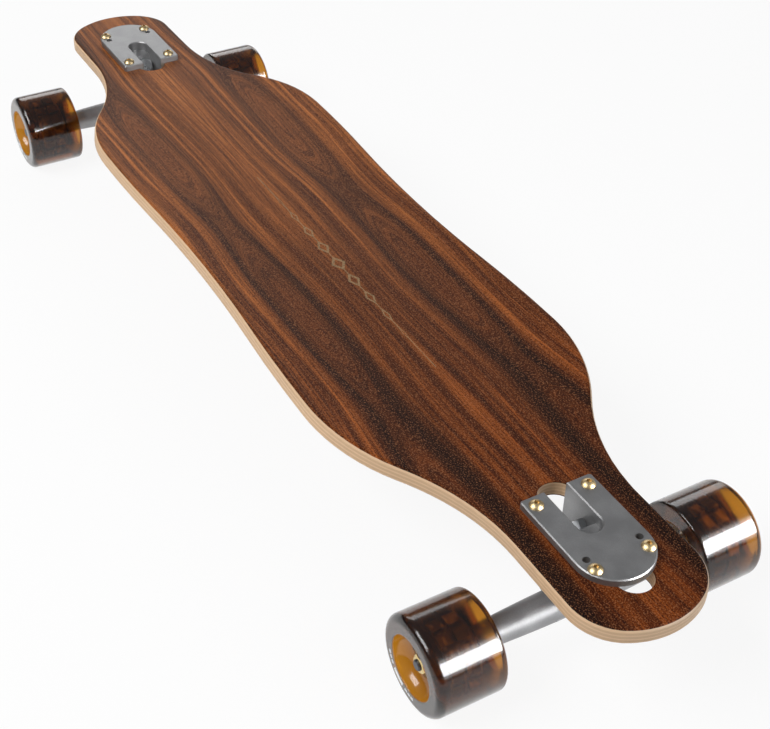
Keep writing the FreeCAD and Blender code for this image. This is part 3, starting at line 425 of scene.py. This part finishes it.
def walnut_figure(wood, deck, x, across, sway, depth):
    """Broad colours of the wood: eyes, and a dark streak along each leaf to the nose."""
    stops = [(share, tinted(getattr(deck, kind), light)) for share, kind, light in RINGS]
    plain = wood.mix(across.rises(*LEAF), deck.walnut_pale, deck.walnut_red)
    # The figure fades towards the tail: partly the wood itself, partly painted sheen that washes
    # out its contrast
    shade = wood.mix(0.70 + x.rises(*FIGURE_GROWS_SHEEN_FADES) * 0.30, plain, wood.ramp(depth, stops))
    beside = (across - deck.streak + sway * STREAK_SWAY).absolute()
    strength = x.rises(*WAIST_STREAK) * 0.4 + x.rises(*NOSE_STREAK) * 0.45
    return wood.mix(beside.rises(*STREAK_EDGE) * strength, shade, deck.walnut_dark)


def banded(wood, shade, level, tints):
    """Multiply a colour by the first tint where the level is 0 and by the second where it is 1."""
    return wood.mix(1.0, shade, wood.mix(level, *tints), "MULTIPLY")


def walnut(name, deck, printed):
    """Two mirrored leaves of figured walnut under clear grit, with a gold band where printed."""
    material, wood = new_finish(name)
    x, y = wood.place()[:2]
    across = y.absolute()
    sway = wood.swing(wood.vector(x * 2.7, across * 5, 0.7))
    ring = growth_ring(wood, deck, x, across, sway)
    depth = ring / deck.heart
    shade = walnut_figure(wood, deck, x, across, sway, depth)

    # Growth lines follow the rings; fine streaks and pores run along the board.
    bend = ring + sway * GROWTH_SWAY
    growth = wood.noise(wood.vector(x * 2.2, bend * 160, 1.5), detail=5.0, roughness=0.6)
    fine = wood.noise(wood.vector(x * 9, bend * 720, y * 40), detail=3.0, roughness=0.65)
    pores = wood.noise(wood.spot(along=60, across=2400)).rises(0.40, 0.30)
    # The lines fade inside the eyes, where the saw ran along a ring.
    lined = 0.35 + depth.rises(0.10, 0.36) * 0.65
    lines = 0.6 + (growth.rises(0.38, 0.61) - 0.6) * lined
    shade = banded(wood, shade, lines, GROWTH_TINTS)
    shade = banded(wood, shade, fine.rises(0.36, 0.64), FINE_TINTS)
    # Painted sheen towards the tail and painted shade towards the nose
    shade = banded(wood, shade, x.rises(*TAIL_TO_NOSE), SHEEN_TO_SHADE_TINTS)
    shade = banded(wood, shade, across.rises(*RAIL), RAIL_TINTS)
    shade = wood.mix(pores * 0.45, shade, tinted(deck.walnut_dark, 0.8))
    if printed:
        shade = wood.mix(lozenge_band(wood, deck, x, y) * 0.72, shade, deck.print_gold)

    # Clear grit: the lighter specks are painted glints and the darker specks are painted shade on
    # their neighbours; the grit's relief is a real bump.
    grains = wood.noise(wood.spot(), scale=1000.0, detail=1.5)
    shade = wood.mix(grains.rises(0.53, 0.70) * 0.58, shade, deck.grit)
    grit_painted_shade = wood.mix(1.0, shade, GRIT_SHADOW, "MULTIPLY")
    shade = wood.mix(grains.rises(0.50, 0.34), shade, grit_painted_shade)
    relief = grains * 0.8 + fine * 0.3 - pores * 0.4
    bsdf = wood.surface(
        Base_Color=shade,
        Roughness=0.42 + fine * 0.12,
        Specular_IOR_Level=0.1,
        Normal=wood.bump(relief, GRIT_RELIEF, 0.45),
    )
    wood.output(Surface=bsdf)
    return material


def lozenge_band(wood, deck, x, y):
    """Where the gold ink lies: slim lozenges that shrink to both ends of a hairline."""
    along = x - deck.print_middle
    beside = y.absolute()
    half = deck.print_pitch / 2
    local = along.math("WRAP", half, -half)
    taper = 1 - ((along - local) / deck.print_reach).absolute()
    wide = taper.at_least(0.02) * deck.print_width
    slim = beside / wide + local.absolute() / (half * 0.8)
    lozenge = slim.rises(1.04, 0.94)
    hollow = slim.rises(0.62, 0.54)
    edge = deck.print_edge
    inside = along.absolute().rises(deck.print_reach, deck.print_reach - edge)
    reached = along.absolute().rises(deck.hairline_reach + edge, deck.hairline_reach - edge)
    hairline = beside.rises(deck.hairline_width * 1.25, deck.hairline_width * 0.75) * reached
    return (lozenge - hollow) * inside + hairline * (1 - lozenge)


def maple(name, deck):
    """Light plies with glue lines, followed down the deck's edge from its concave top."""
    material, wood = new_finish(name)
    y, z = wood.place()[1:]
    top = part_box("deck_top_veneer")[0].z + deck.veneer
    out = (y.absolute() - deck.flat_half).at_least(0.0)
    depth = out * out / (2 * deck.concave_radius) + top - z
    ply = (depth - deck.veneer) / deck.ply
    within = ply.fraction()
    seam = within.at_most(1 - within)
    crossed = (ply / 2).fraction().rises(0.47, 0.53)
    grain = wood.noise(wood.spot(14, 14, 2600), detail=3.0, roughness=0.6)
    blotch = wood.noise(wood.spot(9, 9, 60))
    shade = wood.mix(crossed * 0.55, deck.maple, deck.maple_end)
    shade = wood.mix(grain.rises(0.35, 0.75) * 0.3, shade, deck.maple_end)
    shade = wood.mix(blotch.rises(0.3, 0.7) * 0.2, shade, tinted(deck.maple, 0.82))
    shade = wood.mix(seam.rises(0.10, 0.03) * 0.28, shade, deck.glue)
    bsdf = wood.surface(
        Base_Color=shade,
        Roughness=0.42 + grain * 0.2,
        Normal=wood.bump(grain - seam.rises(0.12, 0.03), PLY_RELIEF, 0.6),
    )
    wood.output(Surface=bsdf)
    return material


class LONGBOARD_OT_deck(bpy.types.Operator):
    """Finish the three laminations of the deck"""

    bl_idname = "longboard.deck"
    bl_label = "Finish Deck"

    def execute(self, context):
        deck = context.scene.longboard_deck
        paint(["deck_top_veneer"], walnut("walnut_top", deck, True))
        paint(["deck_bottom_veneer"], walnut("walnut_underside", deck, False))
        paint(["deck_core"], maple("maple_plies", deck))
        return {"FINISHED"}


# Metal

# Heights of the grain
CAST_RELIEF = 0.00012
PLATED_RELIEF = 0.00005
SMOOTH_RELIEF = 0.00004
POLISHED_RELIEF = 0.00003
GROUND_RELIEF = 0.00002


def mottled(finish, level, shade, mottle):
    """A colour that clouds from a little darker to a little lighter."""
    dark, light = tinted(shade, 1 - mottle), tinted(shade, 1 + mottle)
    return finish.mix(level.rises(0.3, 0.7), dark, light)


def metal(name, shade, roughness, metallic=1.0, mottle=0.1, grain=700.0, relief=PLATED_RELIEF):
    """A metal with soft mottling, a fine grain and uneven gloss."""
    material, finish = new_finish(name)
    cloud = finish.noise(finish.spot(), scale=60.0, detail=3.0)
    fine = finish.noise(finish.spot(), scale=grain, detail=3.0, roughness=0.6)
    tone = mottled(finish, cloud, shade, mottle)
    tone = finish.mix(fine.rises(0.35, 0.7) * 0.35, tone, tinted(shade, 1 - 2 * mottle))
    bsdf = finish.surface(
        Base_Color=tone,
        Metallic=metallic,
        Roughness=(0.75 + cloud * 0.3 + fine * 0.25) * roughness,
        Normal=finish.bump(fine, relief, 0.8),
    )
    finish.output(Surface=bsdf)
    return material


class LONGBOARD_OT_castings(bpy.types.Operator):
    """Finish the base plates and hangers"""

    bl_idname = "longboard.castings"
    bl_label = "Finish Castings"

    def execute(self, context):
        truck = context.scene.longboard_truck
        plate = metal(
            "cast_plate",
            truck.plate,
            roughness=0.38,
            metallic=0.75,
            grain=1500.0,
            relief=CAST_RELIEF,
        )
        hanger = metal(
            "cast_hanger",
            truck.hanger,
            roughness=0.5,
            metallic=0.7,
            grain=1100.0,
            relief=CAST_RELIEF,
        )
        paint([f"{end}_baseplate" for end in ENDS], plate)
        paint([f"{end}_hanger" for end in ENDS], hanger)
        return {"FINISHED"}


class LONGBOARD_OT_hardware(bpy.types.Operator):
    """Finish the bolts, nuts, washers, kingpins and axles"""

    bl_idname = "longboard.hardware"
    bl_label = "Finish Hardware"

    def execute(self, context):
        truck = context.scene.longboard_truck
        brass = metal(
            "polished_brass",
            truck.brass,
            roughness=0.36,
            mottle=0.05,
            grain=900.0,
            relief=POLISHED_RELIEF,
        )
        gilt = metal("yellow_plate", truck.gilt, roughness=0.22, mottle=0.06, relief=SMOOTH_RELIEF)
        zinc = metal("zinc_plate", truck.zinc, roughness=0.30, mottle=0.07)
        steel = metal("turned_steel", truck.steel, roughness=0.28, mottle=0.06)
        black = metal("blackened_steel", truck.axle, roughness=0.32)
        nuts = ("mounting_nuts", "kingpin_nut")
        washers = ("boardside_washer", "roadside_washer", "speed_washers")
        for end in ENDS:
            paint([f"{end}_mounting_bolts"], brass)
            paint([f"{end}_{piece}" for piece in nuts + washers], zinc)
            paint([f"{end}_kingpin", f"{end}_bearing_spacers"], steel)
            paint([f"{end}_axle"], black)
            paint([f"{end}_axle_nuts"], gilt)
        return {"FINISHED"}


# Rubber and bearings

MOULDED_RELIEF = 0.00005
LIGHT_REACH = (0.004, 0.002, 0.0006)  # of red, green and blue light inside the bushings


def moulded(name, shade, roughness, subsurface=0.0, mottle=0.12):
    """A moulded urethane, nylon or ink with faint flow marks and a dull, uneven sheen."""
    material, finish = new_finish(name)
    flow = finish.noise(finish.spot(), scale=140.0, detail=3.0, distortion=0.8)
    fine = finish.noise(finish.spot(), scale=1800.0)
    bsdf = finish.surface(
        Base_Color=mottled(finish, flow, shade, mottle),
        Roughness=(0.8 + flow * 0.4) * roughness,
        Subsurface_Weight=subsurface,
        Subsurface_Radius=LIGHT_REACH,
        Normal=finish.bump(fine, MOULDED_RELIEF, 0.6),
    )
    finish.output(Surface=bsdf)
    return material


class LONGBOARD_OT_urethane(bpy.types.Operator):
    """Finish the bushings and pivot cups"""

    bl_idname = "longboard.urethane"
    bl_label = "Finish Bushings"

    def execute(self, context):
        truck = context.scene.longboard_truck
        bushing = moulded("bushing_urethane", truck.bushing, roughness=0.38, subsurface=0.25)
        cup = moulded("cup_urethane", truck.cup, roughness=0.5)
        for end in ENDS:
            paint([f"{end}_boardside_bushing", f"{end}_roadside_bushing"], bushing)
            paint([f"{end}_pivot_cup"], cup)
        return {"FINISHED"}


class LONGBOARD_OT_bearings(bpy.types.Operator):
    """Finish the races, balls, cages and shields of the wheel bearings"""

    bl_idname = "longboard.bearings"
    bl_label = "Finish Bearings"

    def execute(self, context):
        truck = context.scene.longboard_truck
        bright = tinted(truck.steel, 1.35)
        race = metal("bearing_steel", bright, roughness=0.16, mottle=0.04, relief=GROUND_RELIEF)
        shield = metal(
            "pressed_shield", truck.zinc, roughness=0.34, mottle=0.08, relief=SMOOTH_RELIEF
        )
        cage = moulded("cage_nylon", truck.cage, roughness=0.5)
        paint([f"{end}_bearing_inner_races" for end in ENDS], race)
        for wheel in wheel_names():
            paint([f"{wheel}_bearing_outer_races", f"{wheel}_bearing_balls"], race)
            paint([f"{wheel}_bearing_shields"], shield)
            paint([f"{wheel}_bearing_cages"], cage)
        return {"FINISHED"}


# Wheels

def arc(centre, radius, start, end, steps):
    """Points of a circle's arc, both ends included; angles in degrees."""
    points = []
    for step in range(steps + 1):
        angle = math.radians(start + (end - start) * step / steps)
        points.append((centre[0] + radius * math.cos(angle), centre[1] + radius * math.sin(angle)))
    return points


def eased(start, corner, end, steps):
    """Points of a curve from start to end that bends towards corner, both ends left out."""
    points = []
    for step in range(1, steps):
        t = step / steps
        near, middle, far = (1 - t) ** 2, 2 * t * (1 - t), t * t
        points.append(
            tuple(near * a + middle * b + far * c for a, b, c in zip(start, corner, end))
        )
    return points


LIP_STEPS = 12
BOWL_STEPS = 18
EASE_STEPS = 5
SUPPORT_SHARE = 0.08  # of the lip radius, between a rounding and the ring that keeps it crisp


def tyre_profile(wheel, radius, half, lip):
    """Half the tyre's section as (distance from the axle, along the axle), from tread to bore."""
    bowl, curve, edge = wheel.bowl, wheel.bowl_curve, wheel.bowl_edge
    support = lip * SUPPORT_SHARE
    bowl_centre = (bowl - curve, half)
    mouth_angle = -math.degrees(math.asin(edge / curve))
    end_angle = -math.degrees(math.acos((wheel.inner - bowl_centre[0]) / curve))
    wall = arc(bowl_centre, curve, mouth_angle, end_angle, BOWL_STEPS)
    mouth = (bowl + edge, half)
    return [
        (radius, 0),
        (radius, half / 2),
        (radius, half - lip - support),
        *arc((radius - lip, half - lip), lip, 0, 90, LIP_STEPS),
        (radius - lip - support, half),
        (bowl + edge + support, half),
        mouth,
        *eased(mouth, (bowl, half), wall[0], EASE_STEPS),
        *wall,
    ]


def turned_mesh(name, loop, centre, segments):
    """A closed loop of (radius, along Y) points turned about a line along Y through centre."""
    shape = bmesh.new()
    rings = []
    for index in range(segments):
        angle = 2 * math.pi * index / segments
        out = Vector((math.cos(angle), 0, math.sin(angle)))
        points = [centre + out * radius + Vector((0, along, 0)) for radius, along in loop]
        rings.append([shape.verts.new(point) for point in points])
    for index, ring in enumerate(rings):
        following = rings[(index + 1) % segments]
        for here in range(len(loop)):
            there = (here + 1) % len(loop)
            shape.faces.new((ring[here], ring[there], following[there], following[here]))
    bmesh.ops.recalc_face_normals(shape, faces=shape.faces)
    for face in shape.faces:
        face.smooth = True
    return finished_object(name, shape)


def finished_object(name, shape):
    mesh = bpy.data.meshes.new(name)
    shape.to_mesh(mesh)
    shape.free()
    piece = bpy.data.objects.new(name, mesh)
    bpy.context.scene.collection.objects.link(piece)
    return piece


URETHANE_RELIEF = 0.0002


def clear_urethane(name, wheel):
    """Urethane with a gloss coat over a hazy body, which browns and darkens with depth."""
    material, finish = new_finish(name)
    haze = finish.noise(finish.spot(), scale=45.0, detail=3.0)
    scuff = finish.noise(finish.spot(900, 160, 900), detail=3.0)
    bsdf = finish.surface(
        Base_Color=finish.mix(haze, wheel.amber, tinted(wheel.amber, 0.88)),
        Roughness=0.14 + haze * 0.10 + scuff.rises(0.55, 0.8) * 0.05,
        IOR=1.42,
        Transmission_Weight=1.0,
        Coat_Weight=0.6,
        Coat_Roughness=0.04,
        Normal=finish.bump(haze, URETHANE_RELIEF, 0.04),
    )
    depth = finish.node(
        "ShaderNodeVolumeAbsorption",
        None,
        {"Color": opaque(wheel.smoke), "Density": wheel.smoke_density},
    )
    finish.output(Surface=bsdf, Volume=depth)
    return material


def core_painted_glow(name, wheel):
    """The hub seen through the urethane: dark, with painted amber blotches that stand in for light
    gathering inside the wheel.
    """
    material, finish = new_finish(name)
    blotch = finish.noise(finish.spot(), scale=62.0, detail=2.5, roughness=0.55, distortion=0.6)
    fine = finish.noise(finish.spot(), scale=1500.0)
    bsdf = finish.surface(
        Base_Color=finish.mix(blotch.rises(0.50, 0.68), wheel.core, wheel.core_glow),
        Roughness=0.3 + blotch * 0.3,
        Normal=finish.bump(fine, MOULDED_RELIEF, 0.5),
    )
    finish.output(Surface=bsdf)
    return material


# Start and end in degrees about the axle, and height
DASHES = (
    (-62, -56, 0.0018),
    (-54, -48, 0.0018),
    (-46, -40, 0.0018),
    (-34, -8, 0.0034),
    (-2, 4, 0.0018),
    (6, 12, 0.0018),
    (14, 20, 0.0018),
)
DASH_TURN = -100  # degrees, from straight ahead to the dashes' zero
DASH_STEP = 2  # degrees
DASH_LIFT = 0.00004


def dash(shape, centre, radius, start, end, height, face_y, lift):
    """One printed dash: a thin plate that follows a circle on the side wall."""
    steps = max(2, round(abs(end - start) / DASH_STEP))
    inner = arc((0, 0), radius - height / 2, start, end, steps)
    outer = arc((0, 0), radius + height / 2, start, end, steps)
    rows = []
    for y in (face_y, face_y + lift):
        for ring in (inner, outer):
            rows.append([shape.verts.new(centre + Vector((a, y, b))) for a, b in ring])
    low_in, low_out, high_in, high_out = rows
    sides = ((low_in, low_out), (high_out, high_in), (low_out, high_out), (high_in, low_in))
    for first, second in sides:
        for i in range(steps):
            shape.faces.new((first[i], first[i + 1], second[i + 1], second[i]))
    for i in (0, steps):
        shape.faces.new((low_in[i], low_out[i], high_out[i], high_in[i]))


class LONGBOARD_OT_wheels(bpy.types.Operator):
    """Pour the urethane tyres, finish their cores and print the dashes on the outer faces"""

    bl_idname = "longboard.wheels"
    bl_label = "Make Wheels"

    def execute(self, context):
        wheel = context.scene.longboard_wheel
        clear = clear_urethane("amber_urethane", wheel)
        core = core_painted_glow("amber_core", wheel)
        ink = moulded("white_ink", wheel.mark, roughness=0.5, mottle=0.05)
        for name in wheel_names():
            node = f"{name}_tyre"
            centre = box_middle(node)
            size = box_size(node)
            radius, half = size.z / 2, size.y / 2
            outward = 1 if centre.y > 0 else -1
            outer = tyre_profile(wheel, radius, half, wheel.outer_lip)
            inner = tyre_profile(wheel, radius, half, wheel.inner_lip)
            loop = [(r, along * outward) for r, along in outer]
            loop += [(r, -along * outward) for r, along in reversed(inner[1:])]
            tyre = turned_mesh(f"{name}_urethane", loop, centre, wheel.segments)
            tyre.data.materials.append(clear)
            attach(tyre, f"{name}_wheel")
            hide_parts(node)
            paint([f"{name}_core"], core)
            self.print_dashes(name, centre, half * outward, wheel, ink)
        return {"FINISHED"}

    def print_dashes(self, name, centre, face_y, wheel, ink):
        lift = math.copysign(DASH_LIFT, face_y)
        shape = bmesh.new()
        for start, end, height in DASHES:
            angles = (start + DASH_TURN, end + DASH_TURN)
            dash(shape, centre, wheel.mark_radius, *angles, height, face_y, lift)
        bmesh.ops.recalc_face_normals(shape, faces=shape.faces)
        dashes = finished_object(f"{name}_dashes", shape)
        dashes.data.materials.append(ink)
        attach(dashes, f"{name}_wheel")


# Studio

# Name, place, target, width and height, watts, and whether it shows in glints alone
SOFTBOXES = (
    ("key_softbox", (-0.1, -1.7, 1.9), (0, 0, 0.1), (1.8, 1.3), 52, False),
    ("front_softbox", (2.15, 1.29, 1.06), (0.38, 0, 0.06), (1.65, 1.6), 20, False),
    ("front_glint", (2.10, 1.25, 1.03), (0.38, 0, 0.06), (1.6, 1.05), 105, True),
    ("back_softbox", (-3.0, 1.4, 1.25), (-0.3, 0, 0.1), (3.0, 1.2), 25, False),
)
WHITE = (1.0, 1.0, 1.0)


def softbox(name, place, target, size, power, glint_only):
    """A soft lamp; one for glints alone shows in glossy surfaces and lights no matt ones."""
    lamp = bpy.data.lights.new(name, "AREA")
    lamp.shape = "RECTANGLE"
    lamp.size, lamp.size_y = size
    lamp.energy = power
    holder = bpy.data.objects.new(name, lamp)
    holder.location = place
    holder.rotation_euler = (Vector(target) - Vector(place)).to_track_quat("-Z", "Y").to_euler()
    holder.visible_diffuse = not glint_only
    bpy.context.scene.collection.objects.link(holder)


class LONGBOARD_OT_studio(bpy.types.Operator):
    """Lay the white floor, hang the softboxes and place the camera"""

    bl_idname = "longboard.studio"
    bl_label = "Set Up Studio"

    def execute(self, context):
        studio = context.scene.longboard_studio
        self.lay_floor(studio)
        self.light_room(context.scene, studio)
        for lamp in SOFTBOXES:
            softbox(*lamp)
        self.place_camera(context.scene, studio)
        context.scene.view_settings.view_transform = "Standard"
        return {"FINISHED"}

    def lay_floor(self, studio):
        shape = bmesh.new()
        bmesh.ops.create_grid(shape, x_segments=1, y_segments=1, size=studio.floor_size / 2)
        floor = finished_object("studio_floor", shape)
        material, finish = new_finish("white_floor")
        path = finish.node("ShaderNodeLightPath", output="Is Camera Ray")
        for kind in ("Is Glossy Ray", "Is Transmission Ray"):
            path = path.at_least(finish.node("ShaderNodeLightPath", output=kind))
        matt = finish.node("ShaderNodeBsdfDiffuse", None, {"Color": opaque(studio.floor_white)})
        glow = finish.node("ShaderNodeEmission", None, {"Color": opaque(WHITE), "Strength": 1.0})
        factor = path * studio.floor_glow
        both = finish.node("ShaderNodeMixShader", None, {0: factor, 1: matt, 2: glow})
        finish.output(Surface=both)
        floor.data.materials.append(material)

    def light_room(self, scene, studio):
        scene.world = bpy.data.worlds.new("studio_room")
        scene.world.use_nodes = True
        room = Finish(scene.world.node_tree)
        direction = room.node("ShaderNodeTexCoord", output="Generated")
        height = room.node("ShaderNodeSeparateXYZ", None, {"Vector": direction}, "Z")
        sky = room.ramp(height, [(0.0, studio.sky_low), (0.7, studio.sky_high)])
        light = room.node("ShaderNodeBackground", None, {"Color": sky, "Strength": 1.0})
        room.output("World", Surface=light)

    def place_camera(self, scene, studio):
        camera = bpy.data.cameras.new("camera")
        camera.sensor_fit = "HORIZONTAL"
        camera.sensor_width = studio.sensor_width
        camera.lens = studio.focal_length
        holder = bpy.data.objects.new("camera", camera)
        holder.location = studio.camera_place
        holder.rotation_euler = studio.camera_turn
        scene.collection.objects.link(holder)
        scene.camera = holder


# Panel and registration

STEPS = ("deck", "castings", "hardware", "urethane", "bearings", "wheels", "studio")
SETTINGS = {
    "longboard_deck": DeckFinish,
    "longboard_truck": TruckFinish,
    "longboard_wheel": WheelFinish,
    "longboard_studio": StudioSettings,
}


class LONGBOARD_PT_finisher(bpy.types.Panel):
    """Lists the steps and settings of the finish"""

    bl_idname = "LONGBOARD_PT_finisher"
    bl_label = "Longboard"
    bl_space_type = "VIEW_3D"
    bl_region_type = "UI"
    bl_category = "Longboard"

    def draw(self, context):
        for step in STEPS:
            self.layout.operator(f"longboard.{step}")
        for name in SETTINGS:
            group = getattr(context.scene, name)
            column = self.layout.column(align=True)
            for setting in group.__annotations__:
                column.prop(group, setting)


CLASSES = (
    *SETTINGS.values(),
    LONGBOARD_OT_deck,
    LONGBOARD_OT_castings,
    LONGBOARD_OT_hardware,
    LONGBOARD_OT_urethane,
    LONGBOARD_OT_bearings,
    LONGBOARD_OT_wheels,
    LONGBOARD_OT_studio,
    LONGBOARD_PT_finisher,
)


def register():
    for each in CLASSES:
        bpy.utils.register_class(each)
    for name, group in SETTINGS.items():
        setattr(bpy.types.Scene, name, bpy.props.PointerProperty(type=group))


def unregister():
    for name in SETTINGS:
        delattr(bpy.types.Scene, name)
    for each in reversed(CLASSES):
        bpy.utils.unregister_class(each)


def main():
    register()
    for step in STEPS:
        getattr(bpy.ops.longboard, step)()


if __name__ == "__main__":
    main()
